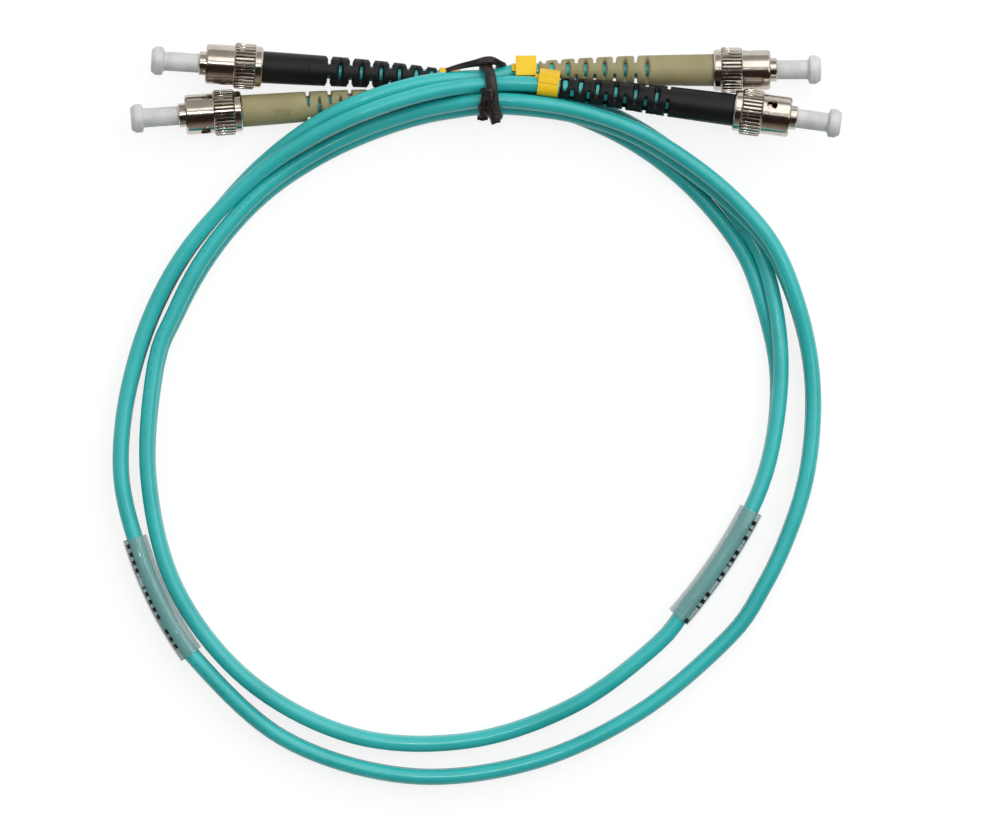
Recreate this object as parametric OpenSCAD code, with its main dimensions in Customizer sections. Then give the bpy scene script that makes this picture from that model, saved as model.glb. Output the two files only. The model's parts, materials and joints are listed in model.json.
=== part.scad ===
// Duplex fibre patch lead with four bayonet plugs.
// The lead lies on its bench in two loose turns, held by a coated wire tie.
// Every plug piece is drawn on the +X axis, u being the distance in front of the
// rear face of the coupling nut, and is then set down with on_plug().

/* [Cord] */
// Outside diameter of each of the two jackets
cord_d = 3.1; // [2.8:0.1:3.1]
// Distance between the centres of the two joined jackets
cord_pitch = 3.15; // [3.15:0.05:3.3]

/* [Coupling nut] */
// Diameter over the fluted grip
grip_d = 9.2; // [8.8:0.1:9.2]
// Diameter of the bayonet sleeve
sleeve_d = 8.0; // [7.9:0.1:8.4]
// Bore of the bayonet sleeve, which slides over the socket
sleeve_bore_d = 7.1; // [7.0:0.1:7.2]
// Number of flutes around the grip
flute_count = 36; // [24:2:40]

/* [Barrel and ferrule] */
// Diameter of the barrel's nose
nose_d = 4.8; // [4.7:0.1:5.0]
// Diameter of the ceramic ferrule
ferrule_d = 2.5; // [2.5:0.1:2.5]
// How far the ferrule stands out of the nose
ferrule_out = 4.2; // [3.8:0.1:5.0]

/* [Boot] */
// Length of the bend-relief boot
boot_len = 34.9; // [34.5:0.1:36]
// Diameter of the boot at the nut
boot_front_d = 6.4; // [6.3:0.1:6.6]
// Diameter of the boot at its tail
boot_tail_d = 4.0; // [3.9:0.1:4.4]
// Number of slots on each of the two slotted planes
slot_pairs = 6; // [4:1:6]

/* [Dust cap] */
// Diameter of the cap's tube
cap_tube_d = 3.8; // [3.7:0.1:3.9]
// Diameter of the cap's grip flange
cap_flange_d = 5.7; // [5:0.1:6.4]

/* [Marker and label] */
// Length of a clip-on marker along the cord
marker_len = 4.1; // [3.5:0.1:4.3]
// Width of a clear label sleeve
label_w = 5.0; // [4.8:0.1:5.4]
// Height of a clear label sleeve
label_h = 7.0; // [6.9:0.1:7.4]

/* [Hidden] */
PLUGS = ["left_black", "left_beige", "right_beige", "right_black"];
PIECES = ["dust_cap", "ferrule", "ferrule_holder", "barrel", "spring", "thrust_washer",
    "retaining_ring", "coupling_nut", "crimp_body", "crimp_sleeve", "boot"];
MARKED = [0, 2, 3];
$fn = 48;

// Clearance of pressed pieces, and the least gap between pieces that only touch
press_gap = 0.01;
touch_gap = 0.05;
// How far a joined detail reaches into the piece it stands on
weld = 0.2;

// Where each plug's nut has its rear face, then its heading, nose-up angle,
// the boot's and the nut's turn about the plug's axis, the cap's seat, marker turn
plug_at = [[-44.6, 4.7, 4.55], [-48.7, -4.1, 4.55], [45.55, 4.1, 4.6], [49.45, -4.1, 8.55]];
plug_heading = [176.7, 184.2, 0.3, -7.5];
plug_rise = [3.5, 3.5, 0, 0.6];
boot_turn = [0, -28, 82, 150];
nut_turn = [-75, -70, 85, -28];
cap_seat = [0.1, 0.1, 0.85, 0.85];
marker_turn = [-45, 0, -20, 12];

// Colours
nickel = [0.72, 0.68, 0.62];
steel = [0.62, 0.63, 0.65];
zirconia = [0.93, 0.93, 0.90];
aqua = [0.20, 0.74, 0.72];
milky = [0.86, 0.88, 0.90];
black = [0.10, 0.10, 0.11];
beige = [0.69, 0.65, 0.49];
yellow = [0.97, 0.80, 0.05];
clear = [0.85, 0.90, 0.90];
paper = [0.95, 0.95, 0.93];
boot_colour = [black, beige, beige, black];

// Coupling nut: lengths along its axis, from the rear face
recess_len = 0.65;
recess_r = 3.4;
lip_end = 1.3;
collar_len = 1.4;
collar_r = 4.1;
grip_end = 5.7;
nut_len = 11.3;
spring_room_r = 3.45;
nut_chamfer = 0.4;
flute_r = 0.24;
stem_clearance = 0.1;
lock_u = 7.4;
lock_r = 1.05;
lock_lean = 12;
lock_lean_r = 0.84;
ramp_r = 0.9;
ramp_steps = 6;
ramp_step = 0.35;
ramp_turn = 72;
ramp_floor_r = 3.8;

// Barrel
stem_r = 2.2;
stem_back = 2.0;
stem_bore_r = 1.5;
flange_r = 3.2;
flange_u = 6.6;
flange_len = 0.8;
shoulder_r = 2.6;
shoulder_end = 10.6;
nose_end = 12.7;
holder_r = 1.9;
holder_u = 5.0;
holder_end = 11.2;
nose_recess_r = 2.0;
nose_recess = 0.9;
ring_u = 0.12;
ring_len = 0.4;
ring_r = 2.75;
ring_groove_r = 1.95;
key_w = 0.9;
key_r = 3.1;
key_u = 8.4;
key_len = 1.8;

// Spring and washer
washer_len = 0.45;
washer_r = 3.3;
wire_r = 0.3;
spring_r = 2.7;
spring_turns = 4;
spring_steps = 16;

// Crimp
crimp_cup_r = 2.8;
crimp_cup_end = -3.0;
crimp_post_r = 1.9;
cord_start = -9.0;
fibre_bore_r = 0.6;
crimp_tube_r = 2.4;
crimp_tube_end = -12.0;

// Boot
boot_nose = 0.2;
boot_bore_r = 1.75;
slot_w = 0.62;
slot_mouth_w = 1.5;
slot_floor = 1.1;
first_slot = 13.3;
slot_step = 2.23;
slot_shrink = 0.036;
badge_u = -7.8;
badge_len = 3.0;
badge_w = 2.3;
badge_depth = 0.2;

// Dust cap
cap_tube_len = 7.2;
cap_flange_len = 2.4;
cap_bore_r = ferrule_d / 2 + touch_gap;

// Marker
marker_r = 2.1;
marker_gap = 1.3;
pocket_at = 3.0;
pocket_w = 1.8;
pocket_h = 2.0;
pocket_slot = 1.0;
slot_len = 1.4;
tongue_w = 1.2;
tongue_t = 0.6;
tongue_out = 0.8;
marker_start = [-35.4, 0, -35.2, -35.2];

// Label sleeves
label_wall = 0.25;
label_z = 3.5;
insert_t = 0.15;
insert_h = 2.2;
label_len = 26;

// Centre line of the joined pair: x, y, z and its roll. At roll 0 the pair lies flat
// with cord A outwards, and at roll 90 it stands on edge with cord A on top.
pair_route = [
    // under the bundle, then down the right side, inner turn
    [-1, -0.1, 2.5, 0], [4, -0.4, 2.5, 0], [11, -1.5, 1.8, 0], [19, -3.6, 1.6, 0],
    [29.5, -8.5, 1.6, 0], [39, -15.2, 1.7, 2], [47, -23.3, 1.8, 8], [53.5, -32.8, 2.2, 20],
    [57, -43.8, 2.9, 48], [58.7, -55, 3.15, 76], [58.2, -66, 3.2, 89], [56, -76.5, 3.2, 90],
    [52, -86, 3.5, 90], [46.5, -95, 3.5, 90], [40.5, -103, 3.5, 90], [34, -111, 3.5, 90],
    // along the bottom and up the left side, inner turn
    [17.5, -123, 3.2, 90], [-3.5, -130, 3.2, 90], [-26.5, -129, 3.2, 90],
    [-47.5, -118, 3.2, 90], [-62, -99.5, 3.2, 90], [-67.5, -77, 3.2, 90],
    [-66, -55, 3.2, 85], [-62, -44.5, 3.2, 82],
    // over the top, second pass
    [-57, -35, 3.2, 78], [-50.5, -26.3, 3.2, 78], [-43, -19, 3.2, 74], [-34, -13, 3.2, 72],
    [-24.5, -8.4, 3.3, 71], [-14.3, -5, 4.2, 71], [-6, -3.4, 5.8, 69], [0.9, -2.7, 6.8, 68],
    [9.5, -3.2, 6.8, 70], [19, -4.8, 6.6, 72], [29.5, -8.4, 6.6, 70], [39.5, -14.4, 6.7, 66],
    [49, -22, 6.7, 68], [57, -31, 6.8, 78],
    // right side, bottom and left side, outer turn
    [62, -42, 5.3, 86], [65, -54, 3.4, 90], [65.5, -66, 3.2, 90], [64, -78, 3.2, 90],
    [60.5, -89, 3.2, 90], [55.5, -99.5, 3.2, 90], [48.5, -109.5, 3.2, 90],
    [30.5, -124.5, 3.2, 90], [8.5, -134.5, 3.2, 90], [-16, -137, 3.2, 90],
    [-40.5, -129.5, 3.2, 90], [-59, -112.5, 3.5, 90], [-65.5, -101.5, 3.5, 90],
    [-70, -90, 3.5, 90], [-72.8, -78, 3.5, 90], [-72.5, -66, 3.3, 90], [-70, -54, 3.2, 88],
    // over the top, third pass
    [-66, -43, 3.2, 86], [-60.5, -33, 3.2, 88], [-53.3, -24, 3.4, 94], [-45.3, -16, 4.6, 110],
    [-36.1, -9.3, 7.3, 128], [-26, -4.1, 9.1, 142], [-15, -0.4, 8.6, 140],
    [-6, 1.3, 7.8, 128], [1.2, 1.9, 6.85, 120]];
// How far apart a cord's rings lie, and how far it runs straight out of its boot's tail
ring_spacing = 12;
end_spacing = 8;
tail_run = 4.6;

// Places on the pair's route that the label sleeves bend through
left_label = [49, 50, 51];
right_label = [12, 13, 14];

// Wire tie: x, y, z, then the direction its flat side faces along
tie_w = 2.2;
tie_t = 0.75;
tie_route = [
    [-7.9, 4.6, 5.9, 0, 1, 1], [-5, 5, 6.4, 0, 1, 1], [-2, 5.7, 7, 0, 1, 1],
    [0.6, 6.2, 7.3, 1, 1, 0], [2.6, 6.2, 6.2, 1, 0, 0], [3, 5.6, 4.2, 1, 0, 0],
    [3, 4.3, 1.7, 1, 0, 0], [2.8, 1.6, 0.42, 1, 0, 0], [2.6, -1.9, 0.42, 1, 0, 0],
    [2.5, -4.4, 1.5, 1, 0, 0], [2.2, -5.6, 4.6, 1, 0, 0], [1.9, -5.2, 8.3, 1, 0, 0],
    [1.6, -2.8, 10.55, 1, 0, 0], [1.2, 1.2, 10.75, 1, 0, 0], [0.7, 3.7, 9.3, 1, 0, 0],
    [0, 5.1, 6.5, 1, 0, 0], [-0.2, 5, 4.2, 1, 0, 0], [-0.2, 4, 1.6, 1, 0, 0],
    [-0.3, 1.6, 0.42, 1, 0, 0], [-0.4, -1.9, 0.42, 1, 0, 0], [-0.5, -4.2, 1.7, 1, 0, 0],
    [-0.6, -5.7, 4.4, 1, 0, 0]];
knot_from = [0.9, -1.9, 12.5];
knot_to = [1.1, -8.8, 7.7];
knot_r = 0.9;
knot_turns = 1.1;
knot_steps = 12;

// ---- Curves ----

function unit(v) = v / norm(v);
function place(p) = [p[0], p[1], p[2]];
function curve(a, b, c, d, t) = 0.5 * (2 * b + (c - a) * t + (2 * a - 5 * b + 4 * c - d) * t * t
    + (3 * b - a - 3 * c + d) * t * t * t);
// Points on a smooth curve through the inner ones of a list, about step apart
function smooth(p, step) = concat(
    [for (i = [1 : len(p) - 3])
        let (n = max(1, round(norm(place(p[i + 1] - p[i])) / step)))
        for (k = [0 : n - 1]) curve(p[i - 1], p[i], p[i + 1], p[i + 2], k / n)],
    [p[len(p) - 2]]);
// The same through every point, with both ends drawn out straight
function smooth_all(p, step) = let (n = len(p))
    smooth(concat([2 * p[0] - p[1]], p, [2 * p[n - 1] - p[n - 2]]), step);
function tangent(p, i) = unit(place(p[min(i + 1, len(p) - 1)] - p[max(i - 1, 0)]));
function outward(t) = unit([-t[1], t[0], 0]);

// One jacket's centre line, side 1 for cord A and -1 for cord B
function jacket(pair, side) = [for (i = [0 : len(pair) - 1])
    let (roll = pair[i][3], out = outward(tangent(pair, i)))
    place(pair[i]) + side * cord_pitch / 2 * (cos(roll) * out + [0, 0, sin(roll)])];

// A point of a plug's axis in the lead's frame
function axis_dir(p) = [cos(plug_rise[p]) * cos(plug_heading[p]),
    cos(plug_rise[p]) * sin(plug_heading[p]), sin(plug_rise[p])];
function on_axis(p, u) = plug_at[p] + u * axis_dir(p);
// The cord's straight stretch in a boot and out of its tail, from front to back
function in_boot(p) = let (tail = -boot_len)
    [for (u = [cord_start, (cord_start + tail) / 2, tail, tail - tail_run]) on_axis(p, u)];
function backwards(points) = [for (i = [len(points) - 1 : -1 : 0]) points[i]];

pair_line = smooth_all(pair_route, ring_spacing);
line_a = jacket(pair_line, 1);
line_b = jacket(pair_line, -1);

// A whole cord: out of the first boot, round the turns and into the last boot
function whole_cord(from, line, to) = let (n = len(line)) concat(
    smooth(concat([on_axis(from, 0)], in_boot(from), [line[0], line[1]]), end_spacing),
    [for (i = [1 : n - 2]) line[i]],
    smooth(concat([line[n - 2], line[n - 1]], backwards(in_boot(to)), [on_axis(to, 0)]), end_spacing));

// ---- Sweeps ----

function tube_faces(rings, sides) = concat(
    [[for (j = [0 : sides - 1]) j]],
    [for (i = [0 : rings - 2]) for (j = [0 : sides - 1]) let (k = (j + 1) % sides)
        each [[i * sides + j, (i + 1) * sides + j, (i + 1) * sides + k],
            [i * sides + j, (i + 1) * sides + k, i * sides + k]]],
    [[for (j = [sides - 1 : -1 : 0]) (rings - 1) * sides + j]]);

module round_tube(line, d, sides) {
    points = [for (i = [0 : len(line) - 1])
        let (t = tangent(line, i), s = unit(cross(t, [0, 0, 1])), v = cross(t, s))
        for (j = [0 : sides - 1])
            place(line[i]) + d / 2 * (cos(360 * j / sides) * s + sin(360 * j / sides) * v)];
    polyhedron(points, tube_faces(len(line), sides));
}

// A flat strip along a line whose points also hold the strip's wide direction
module strip(line, w, t) {
    points = [for (i = [0 : len(line) - 1])
        let (go = tangent(line, i), q = line[i], raw = [q[3], q[4], q[5]])
        let (side = unit(raw - (raw * go) * go), up = cross(go, side))
        for (c = [[1, 0.5], [0.8, 1], [-0.8, 1], [-1, 0.5], [-1, -0.5], [-0.8, -1], [0.8, -1], [1, -0.5]])
            place(q) + c[0] * w / 2 * side + c[1] * t / 2 * up];
    polyhedron(points, tube_faces(len(line), 8));
}

module turned(profile) {
    rotate([0, 90, 0]) rotate_extrude() polygon(profile);
}

module on_plug(p, turn = 0) {
    translate(plug_at[p]) rotate([0, -plug_rise[p], plug_heading[p]]) rotate([turn, 0, 0]) children();
}

module along_x(r, from, to) {
    translate([from, 0, 0]) rotate([0, 90, 0]) cylinder(r = r, h = to - from);
}

// ---- Plug pieces ----

module dust_cap(p) {
    back = nose_end - cap_seat[p];
    face = back + cap_tube_len;
    end = face + cap_flange_len;
    tube_r = cap_tube_d / 2;
    rim_r = cap_flange_d / 2;
    bore_end = face + 0.9;
    color(milky) on_plug(p) turned([
        [cap_bore_r, back], [tube_r, back], [tube_r, face - 0.3], [tube_r + 0.3, face],
        [rim_r - 0.3, face], [rim_r, face + 0.3], [rim_r, end - 0.9], [rim_r - 0.6, end],
        [0, end], [0, bore_end], [cap_bore_r, bore_end - 0.6]]);
}

module ferrule(p) {
    tip = nose_end + ferrule_out;
    r = ferrule_d / 2;
    color(zirconia) on_plug(p) turned([
        [0, holder_u + 0.8], [r, holder_u + 0.8], [r, tip - 0.35], [r - 0.3, tip], [0, tip]]);
}

module ferrule_holder(p) {
    hole = ferrule_d / 2 + press_gap;
    color(nickel) on_plug(p) turned([
        [fibre_bore_r, holder_u + press_gap], [holder_r - press_gap, holder_u + press_gap],
        [holder_r - press_gap, holder_end], [hole, holder_end], [hole, holder_u + 0.7],
        [fibre_bore_r, holder_u + 0.7]]);
}

module barrel(p) {
    nose_r = nose_d / 2;
    color(nickel) on_plug(p) {
        turned([
            [stem_bore_r, -stem_back], [stem_r, -stem_back], [stem_r, ring_u - touch_gap],
            [ring_groove_r, ring_u - touch_gap], [ring_groove_r, ring_u + ring_len + touch_gap],
            [stem_r, ring_u + ring_len + touch_gap], [stem_r, flange_u], [flange_r, flange_u],
            [flange_r, flange_u + flange_len], [shoulder_r, flange_u + flange_len],
            [shoulder_r, shoulder_end], [nose_r, shoulder_end], [nose_r, nose_end - 0.2],
            [nose_r - 0.2, nose_end], [nose_recess_r, nose_end],
            [nose_recess_r, nose_end - nose_recess], [holder_r, nose_end - nose_recess],
            [holder_r, holder_u], [stem_bore_r, holder_u]]);
        translate([key_u, -key_w / 2, shoulder_r - weld])
            cube([key_len, key_w, key_r - shoulder_r + weld]);
    }
}

module spring(p) {
    start = lip_end + washer_len + wire_r + touch_gap;
    rise = flange_u - wire_r - touch_gap - start;
    last = spring_turns * spring_steps;
    sides = 6;
    points = [for (i = [0 : last]) for (j = [0 : sides - 1])
        let (a = 360 * i / spring_steps, b = 360 * j / sides, r = spring_r + wire_r * cos(b))
        [start + rise * i / last - wire_r * sin(b), r * cos(a), r * sin(a)]];
    color(steel) on_plug(p) polyhedron(points, tube_faces(last + 1, sides));
}

module thrust_washer(p) {
    color(steel) on_plug(p) difference() {
        along_x(washer_r, lip_end + press_gap, lip_end + washer_len);
        along_x(stem_r + stem_clearance, 0, grip_end);
    }
}

module retaining_ring(p) {
    gap = 60;
    color(steel) on_plug(p) rotate([gap / 2, 0, 0]) rotate([0, 90, 0])
        rotate_extrude(angle = 360 - gap)
            translate([ring_groove_r + press_gap, ring_u]) square([ring_r - ring_groove_r, ring_len]);
}

// Where an adapter's lug rides: a blind ramp inside the sleeve and its through locking hole
module bayonet_track() {
    translate([lock_u, 0, 0]) cylinder(r = lock_r, h = sleeve_d);
    translate([lock_u, 0, 0]) rotate([lock_lean, 0, 0]) cylinder(r = lock_lean_r, h = sleeve_d);
    for (i = [1 : ramp_steps])
        rotate([ramp_turn * i / ramp_steps, 0, 0])
            translate([lock_u + ramp_step * i, 0, 0]) cylinder(r = ramp_r, h = ramp_floor_r);
    rotate([ramp_turn, 0, 0])
        translate([lock_u + ramp_step * ramp_steps, -ramp_r, 0]) cube([nut_len, 2 * ramp_r, ramp_floor_r]);
}

module coupling_nut(p) {
    grip_r = grip_d / 2;
    sleeve_r = sleeve_d / 2;
    bore_r = sleeve_bore_d / 2;
    c = nut_chamfer;
    color(nickel) on_plug(p, nut_turn[p]) difference() {
        turned([
            [recess_r, 0], [collar_r - 0.3, 0], [collar_r, 0.3], [collar_r, collar_len],
            [grip_r - c, collar_len], [grip_r, collar_len + c], [grip_r, grip_end - c],
            [grip_r - c, grip_end], [sleeve_r, grip_end], [sleeve_r, nut_len - c],
            [sleeve_r - c * 0.6, nut_len], [bore_r, nut_len], [bore_r, grip_end],
            [spring_room_r, grip_end], [spring_room_r, lip_end], [stem_r + stem_clearance, lip_end],
            [stem_r + stem_clearance, recess_len], [recess_r, recess_len]]);
        for (i = [0 : flute_count - 1])
            rotate([360 * (i + 0.5) / flute_count, 0, 0]) translate([0, 0, grip_r])
                along_x(flute_r, collar_len + c / 2, grip_end - c / 2);
        for (side = [0, 180])
            rotate([side, 0, 0]) bayonet_track();
    }
}

module crimp_body(p) {
    color(nickel) on_plug(p) turned([
        [stem_r + press_gap, -0.1], [crimp_cup_r, -0.1], [crimp_cup_r, crimp_cup_end],
        [crimp_post_r, crimp_cup_end], [crimp_post_r, cord_start], [fibre_bore_r, cord_start],
        [fibre_bore_r, -stem_back - press_gap], [stem_r + press_gap, -stem_back - press_gap]]);
}

module crimp_sleeve(p) {
    inner = crimp_post_r + press_gap;
    neck = cord_d / 2 + touch_gap;
    color(steel) on_plug(p) turned([
        [inner, crimp_cup_end - 0.4], [crimp_tube_r, crimp_cup_end - 0.4],
        [crimp_tube_r, crimp_tube_end], [neck, crimp_tube_end], [neck, cord_start - 0.4],
        [inner, cord_start - 0.1]]);
}

function boot_r(s) = boot_front_d / 2 - 0.35 * s - (boot_front_d / 2 - boot_tail_d / 2 - 0.35) * pow(s, 3);
function slot_at(k) = first_slot + slot_step * k - slot_shrink * k * (k - 1);

module boot_slot(k) {
    r = boot_r(slot_at(k) / boot_len);
    translate([-slot_at(k), 0, 0]) rotate([k % 2 == 0 ? 90 : 0, 0, 0])
        for (side = [0, 180]) rotate([side, 0, 0])
            translate([0, boot_front_d, 0]) rotate([90, 0, 0])
                linear_extrude(2 * boot_front_d) polygon([
                    [-slot_w / 2, slot_floor], [slot_w / 2, slot_floor], [slot_w / 2, r - 0.7],
                    [slot_mouth_w / 2, r + 0.1], [slot_mouth_w / 2, r + 1],
                    [-slot_mouth_w / 2, r + 1], [-slot_mouth_w / 2, r + 0.1], [-slot_w / 2, r - 0.7]]);
}

module boot(p) {
    steps = 10;
    end = -boot_len;
    color(boot_colour[p]) on_plug(p, boot_turn[p]) difference() {
        turned(concat(
            [[crimp_cup_r + touch_gap, boot_nose], [boot_r(0) - 0.2, boot_nose]],
            [for (i = [0 : steps]) [boot_r(i / steps), -0.1 + i / steps * (0.4 - boot_len)]],
            [[boot_r(1) - 0.2, end], [boot_bore_r, end], [boot_bore_r, crimp_tube_end - 0.5],
                [crimp_tube_r + touch_gap, crimp_tube_end], [crimp_tube_r + touch_gap, crimp_cup_end - 0.2],
                [crimp_cup_r + touch_gap, crimp_cup_end - 0.2]]));
        for (k = [0 : 2 * slot_pairs - 1])
            boot_slot(k);
        translate([badge_u - badge_len / 2, -badge_w / 2, boot_r(-badge_u / boot_len) - badge_depth])
            cube([badge_len, badge_w, 1]);
    }
}

module marker(p) {
    color(yellow) on_plug(p, marker_turn[p]) translate([marker_start[p] - marker_len, 0, 0])
        rotate([90, 0, 90]) {
            linear_extrude(marker_len) difference() {
                union() {
                    circle(r = marker_r);
                    translate([-pocket_w / 2, 0]) square([pocket_w, pocket_at]);
                    translate([-pocket_h / 2, pocket_at - pocket_w / 2]) square([pocket_h, pocket_w]);
                }
                circle(r = cord_d / 2 + touch_gap);
                translate([-marker_gap / 2, -2 * marker_r]) square([marker_gap, 2 * marker_r]);
                translate([-slot_len / 2, pocket_at - pocket_slot / 2]) square([slot_len, pocket_slot]);
            }
            translate([-tongue_w / 2, pocket_at - pocket_slot / 2 - weld, -tongue_out])
                cube([tongue_w, tongue_t + weld, marker_len]);
        }
}

// ---- Cords, labels and tie ----

module cord_a() {
    color(aqua) round_tube(whole_cord(0, line_a, 3), cord_d, 8);
}

module cord_b() {
    color(aqua) round_tube(whole_cord(1, line_b, 2), cord_d, 8);
}

// Centre of the circle through three points in plan
function centre_of(a, b, c) = let (
        d = 2 * (a[0] * (b[1] - c[1]) + b[0] * (c[1] - a[1]) + c[0] * (a[1] - b[1])),
        qa = a[0] * a[0] + a[1] * a[1],
        qb = b[0] * b[0] + b[1] * b[1],
        qc = c[0] * c[0] + c[1] * c[1])
    [(qa * (b[1] - c[1]) + qb * (c[1] - a[1]) + qc * (a[1] - b[1])) / d,
        (qa * (c[0] - b[0]) + qb * (a[0] - c[0]) + qc * (b[0] - a[0])) / d];

// A profile swept along the arc that the cord follows at a label
module label_arc(at) {
    ends = [for (i = at) place(pair_route[i])];
    centre = centre_of(ends[0], ends[1], ends[2]);
    radius = norm([ends[1][0] - centre[0], ends[1][1] - centre[1]]);
    middle = atan2(ends[1][1] - centre[1], ends[1][0] - centre[0]);
    sweep = label_len / radius * 180 / PI;
    translate([centre[0], centre[1], label_z]) rotate([0, 0, middle - sweep / 2])
        rotate_extrude(angle = sweep, $fn = 180) translate([radius, 0]) children();
}

module label_outline(w, h) {
    translate([-w / 2, w / 2 - h / 2]) square([w, h - w]);
    for (side = [-1, 1])
        translate([0, side * (h - w) / 2]) circle(r = w / 2);
}

module label_sleeve(at) {
    color(clear) label_arc(at) difference() {
        label_outline(label_w, label_h);
        label_outline(label_w - 2 * label_wall, label_h - 2 * label_wall);
    }
}

module label_insert(at) {
    inside = label_w / 2 - label_wall - touch_gap;
    color(paper) label_arc(at)
        translate([inside - insert_t, -insert_h / 2]) square([insert_t, insert_h]);
}

module twist_tie() {
    go = unit(knot_to - knot_from);
    side = unit(cross(go, [1, 0, 0]));
    up = cross(go, side);
    color(black) {
        strip(smooth_all(tie_route, 3), tie_w, tie_t);
        for (phase = [0, 180])
            strip([for (i = [0 : knot_steps])
                let (a = phase + 360 * knot_turns * i / knot_steps)
                let (out = cos(a) * side + sin(a) * up, wide = cross(go, out))
                let (q = knot_from + (knot_to - knot_from) * i / knot_steps + knot_r * out)
                [q[0], q[1], q[2], wide[0], wide[1], wide[2]]], tie_w, tie_t);
    }
}

for (p = [0 : len(PLUGS) - 1]) {
    name = PLUGS[p];
    dust_cap(p);
    ferrule(p);
    ferrule_holder(p);
    barrel(p);
    spring(p);
    thrust_washer(p);
    retaining_ring(p);
    coupling_nut(p);
    crimp_body(p);
    crimp_sleeve(p);
    boot(p);
}
for (p = MARKED) {
    marker(p);
}
cord_a();
cord_b();
label_sleeve(left_label);  // left_label_sleeve
label_insert(left_label);  // left_label_insert
label_sleeve(right_label);  // right_label_sleeve
label_insert(right_label);  // right_label_insert
twist_tie();
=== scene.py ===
"""Looks for a duplex fibre patch lead: a tied coil of twin cord with four bayonet connectors.

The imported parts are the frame. Rigid pieces are clean copies of them with softened
edges, and the cords, the tie and their details are modelled here along the same routes.
Everything is in metres, with +Z up from the surface that the lead lies on.
"""

from __future__ import annotations

import json
import logging
import math
from dataclasses import dataclass, field
from enum import Enum
from typing import Iterable, Sequence

import bmesh
import bpy
from mathutils import Matrix, Vector

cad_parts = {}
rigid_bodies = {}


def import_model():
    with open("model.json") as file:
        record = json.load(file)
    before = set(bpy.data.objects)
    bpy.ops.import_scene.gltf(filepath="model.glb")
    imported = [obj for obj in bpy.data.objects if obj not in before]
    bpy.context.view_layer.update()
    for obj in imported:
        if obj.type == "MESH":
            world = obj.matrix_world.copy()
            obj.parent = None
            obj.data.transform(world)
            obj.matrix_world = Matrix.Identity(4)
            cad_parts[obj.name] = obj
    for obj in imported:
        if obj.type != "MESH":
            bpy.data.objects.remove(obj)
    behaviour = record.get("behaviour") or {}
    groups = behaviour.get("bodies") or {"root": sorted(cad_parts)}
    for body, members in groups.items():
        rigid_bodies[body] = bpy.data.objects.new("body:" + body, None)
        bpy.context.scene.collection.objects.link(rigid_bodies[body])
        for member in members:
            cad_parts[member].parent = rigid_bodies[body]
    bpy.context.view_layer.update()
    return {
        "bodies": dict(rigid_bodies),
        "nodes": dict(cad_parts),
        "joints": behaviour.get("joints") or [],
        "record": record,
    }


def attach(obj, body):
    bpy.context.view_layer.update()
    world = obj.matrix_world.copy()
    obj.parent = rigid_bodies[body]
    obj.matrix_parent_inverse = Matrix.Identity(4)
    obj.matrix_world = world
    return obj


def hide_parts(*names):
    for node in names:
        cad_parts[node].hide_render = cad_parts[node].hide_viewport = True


LOG = logging.getLogger("patch_lead")
MM = 0.001
# Faces that meet at less than this are shaded smooth, and flatter edges than the next stay
SMOOTH_ANGLE = math.radians(40)
SHARP_EDGE = math.radians(32)
# Each cord's first connector, its side of the joined pair, and its last connector
CORD_ENDS = {"a": ("left_black", 1, "right_black"), "b": ("left_beige", -1, "right_beige")}

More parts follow.
